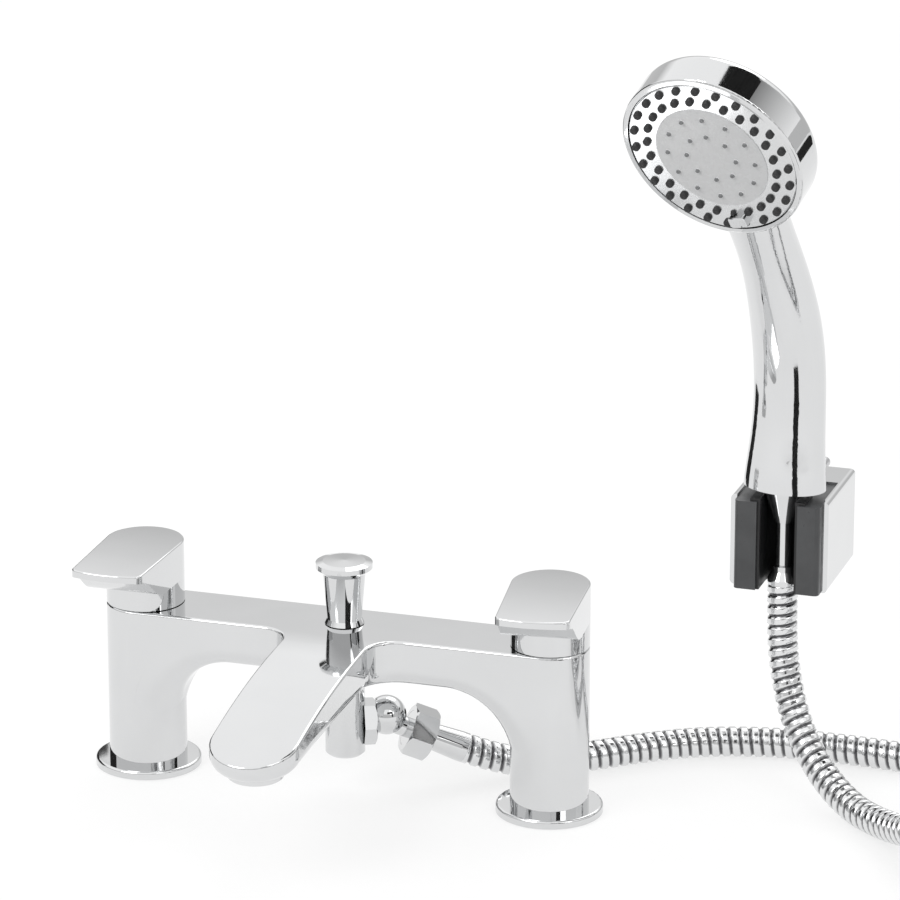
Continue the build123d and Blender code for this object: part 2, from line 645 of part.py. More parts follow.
# Diverter: the knob lifts a rod whose seals close the spout and open the shower
def make_diverter():
    base = LEVER_Z
    knob = turned([
        (0, base),
        (KNOB_BASE_R, base),
        (KNOB_WAIST_R, base + KNOB_WAIST_H),
        (KNOB_NECK_R, base + KNOB_NECK_H),
        (KNOB_CAP_R, base + KNOB_CAP_H),
        (KNOB_CAP_R, base + KNOB_CAP_H + KNOB_RIM_H),
        (KNOB_NECK_R, base + KNOB_CAP_H + KNOB_RIM_H + KNOB_DOME_H * 0.7),
        (0, base + KNOB_CAP_H + KNOB_RIM_H + KNOB_DOME_H),
    ])
    knob -= rod(ROD_R + FIT, base - OVERRUN, base + KNOB_BORE_DEPTH)
    stem = rod(ROD_R, ROD_LOWER_Z, base + KNOB_BORE_DEPTH - FIT)
    gland_z = TOP_Z - GLAND_T
    ring_z = gland_z + GLAND_T / 2
    gland = tube(GLAND_R, ROD_R + FIT, gland_z, TOP_Z)
    groove = RING_TUBE + FIT
    gland -= rod(ROD_R + RING_TUBE + groove, ring_z - groove, ring_z + groove)
    seal_z = CHAMBER_BOTTOM_Z
    plunger_z = seal_z + SEAL_T
    plate_z = ROD_LOWER_Z + ROD_R
    plate = tube(PLATE_R, ROD_R, plate_z, plate_z + PLATE_T)
    for i in range(PLATE_HOLES):
        turn = math.radians(360 * i / PLATE_HOLES)
        ring = (PLATE_R + ROD_R) / 2
        plate -= rod(PLATE_HOLE_R, plate_z - OVERRUN, plate_z + OVERRUN, ring * math.cos(turn), ring * math.sin(turn))
    spring_z = plate_z + PLATE_T + SPRING_WIRE_R
    spring_top = BOSS_Z + SPIGOT_H + FIT - SPRING_WIRE_R
    height = spring_top - spring_z
    helix = Pos(0, 0, spring_z) * Helix(height / SPRING_TURNS, height, SPRING_R)
    wire_start = Plane(origin=helix @ 0, z_dir=helix % 0)
    spring = sweep(wire_start * Circle(SPRING_WIRE_R), path=helix, is_frenet=True)
    valve = rod(BOSS_R, VALVE_BOTTOM_Z, BOSS_Z)
    valve = chamfer(valve.edges().group_by(Axis.Z)[0], BOSS_R / 8)
    valve += rod(SPIGOT_R, BOSS_Z, BOSS_Z + SPIGOT_H)
    valve -= rod(VALVE_BORE_R, VALVE_BOTTOM_Z + VALVE_FLOOR_T, BOSS_Z + SPIGOT_H + OVERRUN)
    valve -= Rot(0, 0, OUT_TURN_DEG) * Pos(BOSS_R, 0, OUT_Z) * Rot(0, 90, 0) * Cylinder(OUT_WAY_R, BOSS_R)
    place = Pos(0, DIV_Y)
    nodes["diverter_knob"] = place * knob
    nodes["diverter_rod"] = place * stem
    nodes["diverter_gland"] = place * gland
    nodes["diverter_gland_o_ring"] = place * Pos(0, 0, ring_z) * Torus(ROD_R + RING_TUBE, RING_TUBE)
    nodes["diverter_plunger"] = place * tube(PLUNGER_R, ROD_R, plunger_z, plunger_z + PLUNGER_T)
    lower_seal = tube(SEAL_R, ROD_R, seal_z, plunger_z)
    upper_seal = tube(SEAL_R, ROD_R, plunger_z + PLUNGER_T, plunger_z + PLUNGER_T + SEAL_T)
    nodes["diverter_seals"] = Compound(children=[place * lower_seal, place * upper_seal])
    nodes["diverter_spring_plate"] = place * plate
    nodes["diverter_spring"] = place * spring
    nodes["diverter_lower_body"] = place * valve


# Shower outlet, from the side of the lower body down to the hose
def outlet_plane(out, z, drop_deg):
    """Plane at a distance from the valve's axis, whose Z runs along the outlet."""
    turn = math.radians(OUT_TURN_DEG)
    drop = math.radians(drop_deg)
    ahead = Vector(math.cos(turn) * math.cos(drop), math.sin(turn) * math.cos(drop), -math.sin(drop))
    origin = Vector(out * math.cos(turn), DIV_Y + out * math.sin(turn), z)
    return Plane(origin=origin, x_dir=(-math.sin(turn), math.cos(turn), 0), z_dir=ahead)


def make_outlet():
    level = outlet_plane(0, OUT_Z, 0)
    sloped = outlet_plane(HOSE_NUT_OUT, HOSE_NUT_Z, OUT_DROP_DEG)
    barrel = rod(BOSS_R + FIT, VALVE_BOTTOM_Z - OVERRUN, BOSS_Z + OVERRUN, 0, DIV_Y)
    collar = level * (chamfered_hexagon(COLLAR_FLATS, 0, COLLAR_END) - rod(PLUNGER_R, -OVERRUN, COLLAR_START))
    collar -= level * rod(COLLAR_BORE_R + FIT, -OVERRUN, COLLAR_END + OVERRUN)
    keep = level * rod(COLLAR_FLATS, COLLAR_START, COLLAR_END)
    nodes["outlet_collar"] = (collar & keep) - barrel
    half = HOSE_NUT_L / 2
    ball_plane = outlet_plane(ELBOW_OUT, ELBOW_Z, 0)
    ball = ball_plane * Sphere(ELBOW_R)
    ball &= level * rod(PITCH, COLLAR_END, PITCH)
    elbow = ball + level * rod(COLLAR_BORE_R, COLLAR_START + GAP, ELBOW_OUT)
    back = ELBOW_OUT - HOSE_NUT_OUT
    elbow += sloped * rod(NECK_R, back, -half + FIT)
    elbow += sloped * rod(THREAD_R, -half + FIT, -half + THREAD_L)
    elbow -= level * rod(OUT_WAY_R, -OVERRUN, ELBOW_OUT)
    elbow -= sloped * rod(OUT_WAY_R, back, half)
    nodes["outlet_elbow"] = elbow - barrel
    nut = chamfered_hexagon(HOSE_NUT_FLATS, -half, half)
    nut -= rod(THREAD_R + FIT, -half - OVERRUN, half - NUT_WALL)
    nut -= rod(FERRULE_NECK_R + FIT, 0, half + OVERRUN)
    nodes["hose_hex_nut"] = sloped * nut
    flange_z = half - NUT_WALL - FERRULE_FLANGE_T
    washer = tube(THREAD_R, OUT_WAY_R + FIT, -half + THREAD_L, flange_z)
    nodes["hose_lower_washer"] = sloped * washer
    end = half + FERRULE_L
    ferrule = turned([
        (0, flange_z),
        (THREAD_R, flange_z),
        (THREAD_R, flange_z + FERRULE_FLANGE_T),
        (FERRULE_NECK_R, flange_z + FERRULE_FLANGE_T),
        (FERRULE_NECK_R, half + FIT),
        (FERRULE_NECK_R + LINER_T / 3, half + FIT),
        (HOSE_R, end - FERRULE_L / 6),
        (HOSE_R, end),
        (0, end),
    ])
    ferrule -= rod(OUT_WAY_R, flange_z - OVERRUN, end + OVERRUN)
    nodes["hose_lower_ferrule"] = sloped * ferrule
    return (sloped * Pos(0, 0, end)).position, sloped.z_dir


# Hose
def bend_radii(points):
    """Largest arc that each corner's two runs allow."""
    radii = []
    for before, at, after in zip(points, points[1:], points[2:]):
        first = Vector(*at) - Vector(*before)
        second = Vector(*after) - Vector(*at)
        turn = math.radians(first.get_angle(second))
        radii.append(BEND_SHARE * min(first.length, second.length) / math.tan(turn / 2))
    return radii


def ribbed_hose(name, points, steady):
    """Ribbed tube along the rounded route, whose sections keep one steady direction."""
    radii = bend_radii(points)
    path = FilletPolyline(*points, radius=radii)
    count = round(path.length / RIB_PITCH)
    stops = [(0.0, HOSE_R - RIB_DEPTH)]
    for i in range(count):
        stops.append(((i + RIB_TOP_SHARES[0]) / count, HOSE_R))
        stops.append(((i + RIB_TOP_SHARES[1]) / count, HOSE_R))
        stops.append(((i + RIB_VALLEY_SHARE) / count, HOSE_R - RIB_DEPTH))
        stops.append(((i + 1) / count, HOSE_R - RIB_DEPTH))
    sections = []
    for share, radius in stops:
        ahead = path % share
        across = (steady - ahead * steady.dot(ahead)).normalized()
        sections.append(Plane(origin=path @ share, x_dir=across, z_dir=ahead) * Circle(radius))
    outside = loft(sections, ruled=True)
    start = Plane(origin=path @ 0, z_dir=path % 0)
    bore = sweep(start * Circle(HOSE_BORE_R), path=path)
    solid = outside - bore
    section = math.pi * (HOSE_R**2 - HOSE_BORE_R**2)
    print(name, "ribs", count, "length", round(path.length, 1), "radii", [round(r) for r in radii])
    print(name, "volume", round(solid.volume), "plain section times length", round(section * path.length))
    return solid


def coil_place(turned_deg):
    """Point of the coil's centre line after turning clockwise through an angle."""
    total = 360 * COIL_WHOLE_TURNS - (COIL_END_DEG - COIL_START_DEG)
    half = total / 2
    radius = COIL_OUTER_R - COIL_STEP * (half - abs(turned_deg - half)) / 360
    climb = min(max((turned_deg - half) / 180 + 0.5, 0.0), 1.0)
    lift = COIL_LAYER * (1 - math.cos(math.pi * climb)) / 2
    turn = math.radians(COIL_START_DEG - turned_deg)
    return Vector(COIL_X + radius * math.cos(turn), COIL_Y + radius * math.sin(turn), REST_Z + lift), total


def biarc(start, start_dir, end, end_dir):
    """Two arcs that join two points along their directions."""
    across = end - start
    both = start_dir + end_dir
    fold = 2 * (1 - start_dir.dot(end_dir))
    reach = (-across.dot(both) + math.sqrt(across.dot(both) ** 2 + fold * across.dot(across))) / fold
    first = start + start_dir * reach
    second = end - end_dir * reach
    joint = (first + second) / 2
    along = (second - first).normalized()
    return [TangentArc(start, joint, tangent=start_dir), TangentArc(joint, end, tangent=along)]


def make_coil():
    total = coil_place(0)[1]
    stations = round(total / COIL_STATION_DEG)
    places = [coil_place(total * i / stations)[0] for i in range(stations + 1)]
    headings = []
    step = COIL_STATION_DEG / 1000
    for i in range(stations + 1):
        at = min(max(total * i / stations, step), total - step)
        headings.append((coil_place(at + step)[0] - coil_place(at - step)[0]).normalized())
    headings[0] = Vector(1, 0, 0)
    end_turn = math.radians(COIL_END_DEG)
    headings[-1] = Vector(math.sin(end_turn), -math.cos(end_turn), 0)
    arcs = []
    for i in range(stations):
        arcs += biarc(places[i], headings[i], places[i + 1], headings[i + 1])
    path = Wire(arcs)
    start = Plane(origin=path @ 0, z_dir=path % 0)
    coil = sweep(start * Circle(HOSE_R), path=path)
    probes = [path @ (i / COIL_PROBES) for i in range(COIL_PROBES + 1)]
    skip = round(COIL_PROBES * 6 * HOSE_R / path.length)
    least = min(
        (probes[i] - probes[j]).length for i in range(len(probes)) for j in range(i + skip, len(probes))
    )
    print("coil length", round(path.length, 1), "least gap to itself", round(least - 2 * HOSE_R, 2))
    print("coil volume", round(coil.volume), "section times length", round(math.pi * HOSE_R**2 * path.length))
    nodes["hose_coil"] = coil
    return path @ 0, path @ 1, headings[-1]


def make_hose(mixer_end, mixer_ahead):
    first, last, last_ahead = make_coil()
    mixer_points = [tuple(mixer_end), tuple(mixer_end + mixer_ahead * HOSE_START_RUN), *MIXER_RUN, tuple(first)]
    nodes["hose_mixer_run"] = ribbed_hose("hose_mixer_run", mixer_points, Vector(0, 0, 1))
    top = (HAND_X, HAND_Y, HAND_Z + HOSE_TOP_Z)
    handset_points = [top, *HANDSET_RUN, tuple(last + last_ahead * COIL_APPROACH_RUN), tuple(last)]
    ahead = Vector(*handset_points[-1]) - Vector(*top)
    side = Vector(-ahead.Y, ahead.X, 0).normalized()
    nodes["hose_handset_run"] = ribbed_hose("hose_handset_run", handset_points, side)


# Hand shower
def handle_loft(shrink, lowest):
    """Oval handle that leans forward into the head, smaller by a wall where it is the hollow."""
    sections = []
    rows = zip(HANDLE_UP_SHARES, HANDLE_OUT_SHARES, HANDLE_HALVES, HANDLE_DEPTHS, HANDLE_LEANS_DEG)
    for up_share, out_share, half, deep, lean in rows:
        up = up_share * FACE_UP
        out = out_share * FACE_OUT
        if up < lowest:
            continue
        turn = math.radians(lean)
        ahead = Vector(0, math.sin(turn), math.cos(turn))
        plane = Plane(origin=(0, -out, up), x_dir=(1, 0, 0), z_dir=ahead)
        sections.append(plane * Ellipse(half - shrink, deep - shrink))
    return loft(sections)


def head_plane():
    """Plane of the spray face: origin at its centre, Z out of the face, Y up the face."""
    tilt = math.radians(FACE_TILT_DEG)
    ahead = Vector(0, -math.cos(tilt), -math.sin(tilt))
    return Plane(origin=(0, -FACE_OUT, FACE_UP), x_dir=(1, 0, 0), z_dir=ahead)


def dome(radius, front, shoulder, crown_r, crown):
    """Turned head form: straight rim, then a rounded back, all behind the face."""
    outline = make_face([
        Line((0, front), (radius, front)),
        Line((radius, front), (radius, shoulder)),
        Spline((radius, shoulder), (crown_r, crown + (shoulder - crown) * 0.18), (0, crown),
               tangents=[(0, -1), (-1, 0)]),
        Line((0, crown), (0, front)),
    ])
    return revolve(Plane.XZ * outline, Axis.Z)


def make_handset():
    face = head_plane()
    back = -HEAD_RIM_T - HEAD_DOME_H
    head = dome(HEAD_R, 0, -HEAD_RIM_T, HEAD_DOME_R, back)
    head = fillet(head.edges().sort_by(Axis.Z)[-1], HEAD_EDGE_R)
    shell = face * head + handle_loft(0, -1)
    hollow = face * dome(RECESS_R, -PLATE_FACE_T - MAT_T - DISTRIBUTOR_T, -HEAD_RIM_T + HEAD_WALL,
                         HEAD_DOME_R - HEAD_WALL, back + HEAD_WALL)
    shell -= hollow
    shell -= face * rod(RECESS_R, -PLATE_FACE_T - MAT_T - DISTRIBUTOR_T - OVERRUN, OVERRUN)
    waterway = handle_loft(HANDLE_WALL, HANDLE_PLUG_H)
    shell -= waterway
    shell -= rod(FOOT_RECESS_R, -OVERRUN, FOOT_RECESS_H)
    shell -= rod(INLET_R + FIT, 0, HANDLE_UP_SHARES[2] * FACE_UP + OVERRUN)
    nodes["handset_shell"] = shell
    inlet = rod(INLET_R, FOOT_RECESS_H, HANDLE_PLUG_H)
    inlet += rod(SPIGOT_FOOT_R, CONE_TOP_Z + GAP, FOOT_RECESS_H)
    inlet -= rod(INLET_BORE_R, -OVERRUN, HANDLE_PLUG_H + OVERRUN)
    nodes["handset_inlet"] = inlet
    mat_z = -PLATE_FACE_T - MAT_T
    disc = rod(DISTRIBUTOR_R + FIT * 8, mat_z - DISTRIBUTOR_T, mat_z - GAP)
    for i in range(DISTRIBUTOR_HOLES):
        turn = math.radians(360 * i / DISTRIBUTOR_HOLES)
        x = DISTRIBUTOR_HOLE_RING * math.cos(turn)
        y = DISTRIBUTOR_HOLE_RING * math.sin(turn)
        disc -= rod(DISTRIBUTOR_HOLE_R, mat_z - DISTRIBUTOR_T - OVERRUN, OVERRUN, x, y)
    screw_z = mat_z - DISTRIBUTOR_T - FACE_SCREW_HEAD_T
    disc -= rod(FACE_SCREW_R + FIT, screw_z, OVERRUN)
    seal_z = mat_z - GAP - FACE_SEAL_TUBE
    groove = FACE_SEAL_TUBE + FIT
    disc -= tube(FACE_SEAL_RING + groove, FACE_SEAL_RING - groove, seal_z - groove, OVERRUN)
    nodes["handset_distributor"] = face * disc
    nodes["spray_face_seal"] = face * Pos(0, 0, seal_z) * Torus(FACE_SEAL_RING, FACE_SEAL_TUBE)
    make_spray_face(face, mat_z)
    screw = rod(FACE_SCREW_R, mat_z - DISTRIBUTOR_T - FACE_SCREW_HEAD_T, -CENTRE_T - FIT)
    screw += rod(FACE_SCREW_HEAD_R, screw_z, screw_z + FACE_SCREW_HEAD_T)
    nodes["spray_face_screw"] = face * screw
    hand = Pos(HAND_X, HAND_Y, HAND_Z) * Rot(0, 0, HAND_TURN_DEG)
    for name in ("handset_shell", "handset_inlet", "handset_distributor", "spray_face_seal", "spray_face_plate",
                 "spray_nozzle_mat", "spray_centre", "spray_face_screw"):
        nodes[name] = hand * nodes[name]


def nozzle_places():
    """Outer ring, then the inner ring set half a step round."""
    places = []
    for ring, shift in ((OUTER_NOZZLE_RING, 0.0), (INNER_NOZZLE_RING, 0.5)):
        for i in range(NOZZLES_IN_RING):
            turn = math.radians(360 * (i + shift) / NOZZLES_IN_RING)
            places.append((ring * math.cos(turn), ring * math.sin(turn)))
    return places


def make_spray_face(face, mat_z):
    plate = tube(RECESS_R - GAP, CENTRE_R + FIT, -PLATE_FACE_T, 0)
    plate = chamfer(plate.edges().group_by(Axis.Z)[-1].sort_by(SortBy.LENGTH)[-1], PLATE_FACE_T / 4)
    turn = math.radians(TAB_AT_DEG)
    tab = Pos(TAB_RING * math.cos(turn), TAB_RING * math.sin(turn)) * Rot(0, 0, TAB_AT_DEG)
    blade = Pos(0, 0, -PLATE_FACE_T / 2) * extrude(RectangleRounded(TAB_L, TAB_W, TAB_L / 4), TAB_H)
    plate += tab * blade
    holes = [rod(NOZZLE_R + FIT, -PLATE_FACE_T - OVERRUN, OVERRUN + TAB_H, x, y) for x, y in nozzle_places()]
    plate = plate - Compound(children=holes)
    mat = tube(MAT_R, FACE_SCREW_R + GAP, mat_z, -PLATE_FACE_T)
    stub = turned([(0, mat_z), (NOZZLE_R, mat_z), (NOZZLE_R, 0), (NOZZLE_TIP_R, NOZZLE_OUT), (0, NOZZLE_OUT)])
    stubs = [Pos(x, y) * stub for x, y in nozzle_places()]
    mat = mat + stubs
    mat -= rod(CENTRE_R + FIT, -CENTRE_T - FIT, OVERRUN)
    centre = rod(CENTRE_R, -CENTRE_T, FIT * 4)
    tip = Cone(CENTRE_NOZZLE_R, CENTRE_NOZZLE_R * 0.7, NOZZLE_OUT)
    tips = []
    for count, ring in zip(CENTRE_RING_COUNTS, CENTRE_RING_RADII):
        for i in range(count):
            at = math.radians(360 * i / count)
            tips.append(Pos(ring * math.cos(at), ring * math.sin(at), NOZZLE_OUT / 3) * tip)
    nodes["spray_face_plate"] = face * plate
    nodes["spray_nozzle_mat"] = face * mat
    nodes["spray_centre"] = face * (centre + tips)


def make_cone_nut():
    """Cone nut on the upper hose end, its washer and the ferrule that turns in it."""
    top = CONE_TOP_Z + CONE_SKIRT_H
    foot = CONE_TOP_Z - CONE_H
    nut = turned([(0, foot), (CONE_FOOT_R, foot), (CONE_TOP_R, CONE_TOP_Z), (CONE_TOP_R, top), (0, top)])
    floor = foot + CONE_FLOOR + CONE_FLOOR / 2
    nut -= rod(SPIGOT_FOOT_R + FIT, CONE_TOP_Z - WASHER_T, top + OVERRUN)
    flange_r = (CONE_TOP_R + CONE_FOOT_R) / 2 - LINER_T
    nut -= rod(flange_r + FIT, floor, top)
    nut -= rod(STEM_R + FIT, foot - OVERRUN, top)
    ferrule_top = floor + FERRULE_FLANGE_T
    stem = rod(STEM_R, STEM_END_Z, ferrule_top) + rod(flange_r, floor, ferrule_top)
    stem += rod(STEM_RING_R, STEM_END_Z - STEM_RING_T, STEM_END_Z)
    flare = turned([
        (0, HOSE_TOP_Z),
        (HOSE_R, HOSE_TOP_Z),
        (HOSE_R, HOSE_TOP_Z + STEM_RING_T),
        (STEM_RING_R, STEM_END_Z - STEM_RING_T),
        (0, STEM_END_Z - STEM_RING_T),
    ])
    stem += flare
    stem -= rod(STEM_BORE_R, HOSE_TOP_Z - OVERRUN, top)
    washer = tube(flange_r, STEM_BORE_R + FIT, ferrule_top, CONE_TOP_Z - WASHER_T)
    hand = Pos(HAND_X, HAND_Y, HAND_Z)
    nodes["hose_cone_nut"] = hand * nut
    nodes["hose_upper_washer"] = hand * washer
    nodes["hose_upper_ferrule"] = hand * stem


# Wall bracket: a plated block with two thin cheeks, a clip with an open slot, and the slot's lining
def make_bracket():
    top = BRACKET_TOP
    bottom = BRACKET_TOP - BRACKET_H
    half = BRACKET_W / 2
    block = slab(-half, half, -CHEEK_FRONT, WALL_OUT, bottom, top)
    block = fillet(block.edges().filter_by(Axis.Y), BLOCK_EDGE_R)
    block -= slab(-half + CHEEK_T, half - CHEEK_T, -PITCH, WALL_OUT - BLOCK_T, bottom - OVERRUN, top + OVERRUN)
    middle = (top + bottom) / 2
    front = WALL_OUT - BLOCK_T
    screws = []
    for sign in (-1, 1):
        z = middle + sign * WALL_SCREW_SPREAD / 2
        hole = Plane(origin=(0, front, z), x_dir=(1, 0, 0), z_dir=(0, 1, 0))
        block -= hole * rod(WALL_SCREW_HEAD_R + GAP, -OVERRUN, WALL_SCREW_SEAT)
        block -= hole * rod(WALL_SCREW_R + FIT, 0, BLOCK_T + OVERRUN)
        seat = WALL_SCREW_SEAT
        screw = rod(WALL_SCREW_R, seat, seat + WALL_SCREW_L)
        screw += rod(WALL_SCREW_HEAD_R, seat - WALL_SCREW_HEAD_T, seat)
        screws.append(hole * screw)
    inner = half - CHEEK_T - FIT
    clip = slab(-inner, inner, -JAW_FRONT, JAW_BACK + FIT * 19, bottom, top - LIP_T)
    clip = fillet(clip.edges().filter_by(Axis.Z).group_by(Axis.Y)[0], BLOCK_EDGE_R)
    clip -= slot_cut(SLOT_HALF, bottom - OVERRUN, top + OVERRUN)
    liner = slot_cut(SLOT_HALF - FIT, bottom, top - LIP_T, -JAW_FRONT + LINER_T)
    lip = slot_cut(SLOT_HALF + LIP_W, top - LIP_T, top, -JAW_FRONT + LINER_T)
    liner += lip
    liner -= slot_cut(SLOT_HALF - LINER_T, bottom - OVERRUN, top + OVERRUN)
    slope = (CONE_TOP_R - CONE_FOOT_R) / CONE_H
    apex = CONE_TOP_Z - CONE_H
    cup_r = CONE_FOOT_R + GAP + slope * (top + OVERRUN - apex)
    liner -= turned([(0, apex), (CONE_FOOT_R + GAP, apex), (cup_r, top + OVERRUN), (0, top + OVERRUN)])
    place = Pos(HAND_X, HAND_Y, HAND_Z)
    nodes["bracket_wall_block"] = place * block
    nodes["bracket_clip"] = place * clip
    nodes["bracket_liner"] = place * liner
    nodes["bracket_wall_screws"] = Compound(children=[place * s for s in screws])


def slot_cut(half, z0, z1, front=None):
    """Slot with a round back, open towards the front."""
    ahead = -PITCH if front is None else front
    return slab(-half, half, ahead, 0, z0, z1) + rod(half, z0, z1)


nodes["mixer_body"] = mixer_body()
make_aerator()
for side_name, side_sign in SIDES.items():
    make_base(side_name, side_sign)
    make_cartridge(side_name, side_sign)
    make_lever(side_name, side_sign)
make_deck_nuts()
make_diverter()
hose_start, hose_ahead = make_outlet()
make_hose(hose_start, hose_ahead)
make_handset()
make_cone_nut()
make_bracket()

for node_name, solid in nodes.items():
    export_step(solid, "parts/" + node_name + ".step")
print(len(nodes), "nodes")
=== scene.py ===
"""Bath shower mixer with hand shower: looks, hose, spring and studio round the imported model, in metres."""
import json
import math

import bpy
import numpy as np
from mathutils import Matrix, Vector


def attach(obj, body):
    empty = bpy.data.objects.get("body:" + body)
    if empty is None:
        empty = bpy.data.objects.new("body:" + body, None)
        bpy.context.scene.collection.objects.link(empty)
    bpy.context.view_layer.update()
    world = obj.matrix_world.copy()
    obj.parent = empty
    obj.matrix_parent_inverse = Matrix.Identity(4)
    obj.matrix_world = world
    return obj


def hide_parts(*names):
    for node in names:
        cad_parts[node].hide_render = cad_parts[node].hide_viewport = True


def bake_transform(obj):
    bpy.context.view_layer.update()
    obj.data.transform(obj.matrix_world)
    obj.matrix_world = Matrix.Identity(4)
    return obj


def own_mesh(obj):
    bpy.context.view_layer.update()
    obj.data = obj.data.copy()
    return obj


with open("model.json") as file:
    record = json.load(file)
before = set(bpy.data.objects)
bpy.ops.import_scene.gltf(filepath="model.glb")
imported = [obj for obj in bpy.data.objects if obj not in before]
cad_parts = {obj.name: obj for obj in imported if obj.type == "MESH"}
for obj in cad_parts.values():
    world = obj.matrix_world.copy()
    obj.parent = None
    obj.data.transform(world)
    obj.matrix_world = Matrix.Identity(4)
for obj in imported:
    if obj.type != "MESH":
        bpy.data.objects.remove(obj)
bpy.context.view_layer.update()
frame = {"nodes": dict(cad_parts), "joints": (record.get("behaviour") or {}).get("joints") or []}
nodes = frame["nodes"]

# Camera: the photograph's direction, at a distance that keeps its slight perspective
VIEW_BACK = Vector((0.2902, -0.9040, 0.3140))     # from the mixer towards the camera
VIEW_RIGHT = Vector((0.9521, 0.3057, 0.0))
VIEW_UP = Vector((-0.0960, 0.2990, 0.9494))
CAMERA_DISTANCE = 2.2
AIM_RIGHT = 0.044             # the point aimed at, along VIEW_RIGHT and VIEW_UP
AIM_UP = 0.1424
SENSOR = 36.0                 # millimetres, like the lens
LENS = 206.7
SIGHT_END = 60.0

# Finishes: linear colours, haze as roughness, depths in metres, grain as noise cells in one metre
WHITE = (1.0, 1.0, 1.0)
NOISE_LOW = 0.3               # nearly all of the noise lies between these two
NOISE_HIGH = 0.7

# Plate
PLATE = (0.70, 0.705, 0.71)
PLATE_HAZE = 0.045
PLATE_WAVE = 0.00004
PLATE_WAVE_GRAIN = 34
PLATE_PITS_GRAIN = 900
PLATE_PITS_SHARE = 60         # the pits are this many times shallower than the waves
PLATE_SHADE = 0.965           # darkest tint, as a share of the colour
PLATE_SHADE_GRAIN = 26
SMEAR_GRAIN = 55
SMEAR_DETAIL = 5.0
SMEAR_STRETCH = (1.0, 1.0, 0.35)
SMEAR_LEAST = 0.5             # haze where the plate is cleanest and most smeared, as shares
SMEAR_MOST = 1.7
SATIN_HAZE = 0.17
SATIN_WAVE = 0.00003
LEVER_CROWN = 0.0005          # rise of a lever's top at its middle
PLATED = (                    # slot, colour, haze, depth of the waves
    ("chrome", PLATE, PLATE_HAZE, PLATE_WAVE),
    ("hose_metal", (0.74, 0.745, 0.75), 0.09, 0.00002),
)

# Bare metal, and moulded plastic and rubber; least and most haze are shares of the haze in the table
METAL_SHADE = 0.8             # darkest tint, as a share of the colour
METAL_SHADE_GRAIN = 60
METAL_LEAST = 0.7
METAL_MOST = 1.35
METAL_LINE_DEPTH = 0.000012
MOULDED_SHADE_GRAIN = 70
MOULDED_HAZE_GRAIN = 240
MOULDED_LEAST = 0.8
MOULDED_MOST = 1.2
BRUSHED = (                   # slot, colour, haze, grain, stretch of the grain
    ("brass", (0.76, 0.58, 0.28), 0.3, 60, (1.0, 1.0, 90.0)),
    ("steel", (0.62, 0.62, 0.63), 0.32, 60, (1.0, 1.0, 60.0)),
)
MOULDED = (                   # slot, colour, haze, grain, depth of the grain, darkest tint as a share
    ("ceramic", (0.86, 0.85, 0.81), 0.2, 1500, 0.000004, 0.97),
    ("black_rubber", (0.024, 0.024, 0.025), 0.62, 1800, 0.00002, 0.86),
    ("nozzle_rubber", (0.022, 0.022, 0.023), 0.5, 2200, 0.000012, 0.86),
    ("grey_plastic", (0.36, 0.36, 0.365), 0.42, 1600, 0.00001, 0.86),
    ("dark_grey_plastic", (0.085, 0.087, 0.09), 0.34, 1100, 0.00003, 0.7),
    ("black_plastic", (0.012, 0.012, 0.013), 0.38, 1500, 0.000012, 0.86),
    ("light_grey_plastic", (0.60, 0.61, 0.62), 0.26, 1700, 0.000006, 0.95),
)

# Strip of the hose
HOSE_CROWN = (0.76, 0.765, 0.77)
# Painted shade: the dark groove colour stands in for the shade between the turns of the strip
HOSE_GROOVE_SHADE = (0.10, 0.10, 0.105)
HOSE_UNSHADED_FROM = 0.8        # rib height above which the strip has its full colour
HOSE_SMEAR_GRAIN = 90
HOSE_HAZE_LEAST = 0.09
HOSE_HAZE_MOST = 0.2
HOSE_PITS_GRAIN = 1400
HOSE_PITS_DEPTH = 0.000008

# Disc in the middle of the spray face, and its tips
# Painted light: the disc's pale grey is lighter than its own tone, to make up for the little light its
# downward face gets
DISC_PALE_WITH_PAINTED_LIGHT = (0.88, 0.885, 0.89)
DISC_TIP = (0.24, 0.245, 0.25)
DISC_HAZE_GRAIN = 300
DISC_HAZE_LEAST = 0.2
DISC_HAZE_MOST = 0.34
DISC_PITS_GRAIN = 1700
DISC_PITS_DEPTH = 0.000006

# Studio
FLOOR_DROP = 0.0004           # the floor lies this far under the base flanges
FLOOR_HALF = 6.0
FLOOR_GLOW = 0.71             # share of the floor's white that no shadow dims
FLOOR_PAPER = (0.30, 0.30, 0.30)
FLOOR_PAPER_DARK = (0.285, 0.285, 0.285)
FLOOR_GRAIN = 12
AMBIENT = 0.82                # strength of the even light on dull surfaces
HORIZON_GREY = 0.63           # what plate mirrors at the horizon and overhead
OVERHEAD_WHITE = 1.15
HORIZON_END = 0.27            # heights on the unit sphere where the grey ends and the white begins
OVERHEAD_START = 0.45
LAMPS = (                     # name, place, size, power
    ("lamp_key", (-1.3, -1.9, 2.2), 1.7, 26.0),
    ("lamp_fill", (2.0, -1.5, 1.5), 1.5, 10.0),
    ("lamp_back", (0.2, 2.2, 2.3), 1.8, 12.0),
)
LAMP_AIM = Vector((0.05, 0.0, 0.1))
CARDS = (                     # name, middle, width, height, turn about Z and tilt about X in degrees
    ("card_left", (-1.25, 0.55, 0.42), 1.1, 0.75, 66.0, 0.0),
    ("card_right", (1.45, 0.75, 0.1), 1.1, 0.2, -60.0, 0.0),
    ("card_overhead", (0.505, 0.335, 1.387), 0.6, 0.6, 45.0, 90.0),
    ("card_for_handle", (0.222, -0.146, 0.1), 0.05, 0.1, 12.0, 0.0),
    ("card_for_handle_edge", (-0.29, 0.247, 0.08), 0.22, 0.15, 68.0, 0.0),
    ("card_for_knob", (0.89, -0.99, 0.75), 0.9, 0.35, 42.0, 0.0),
)
SHADED_HEIGHT = 1.1
SHADED_CARD = ("card_shaded", (1.054, 0.369, 0.995), 0.5, SHADED_HEIGHT, -67.0, 36.0)
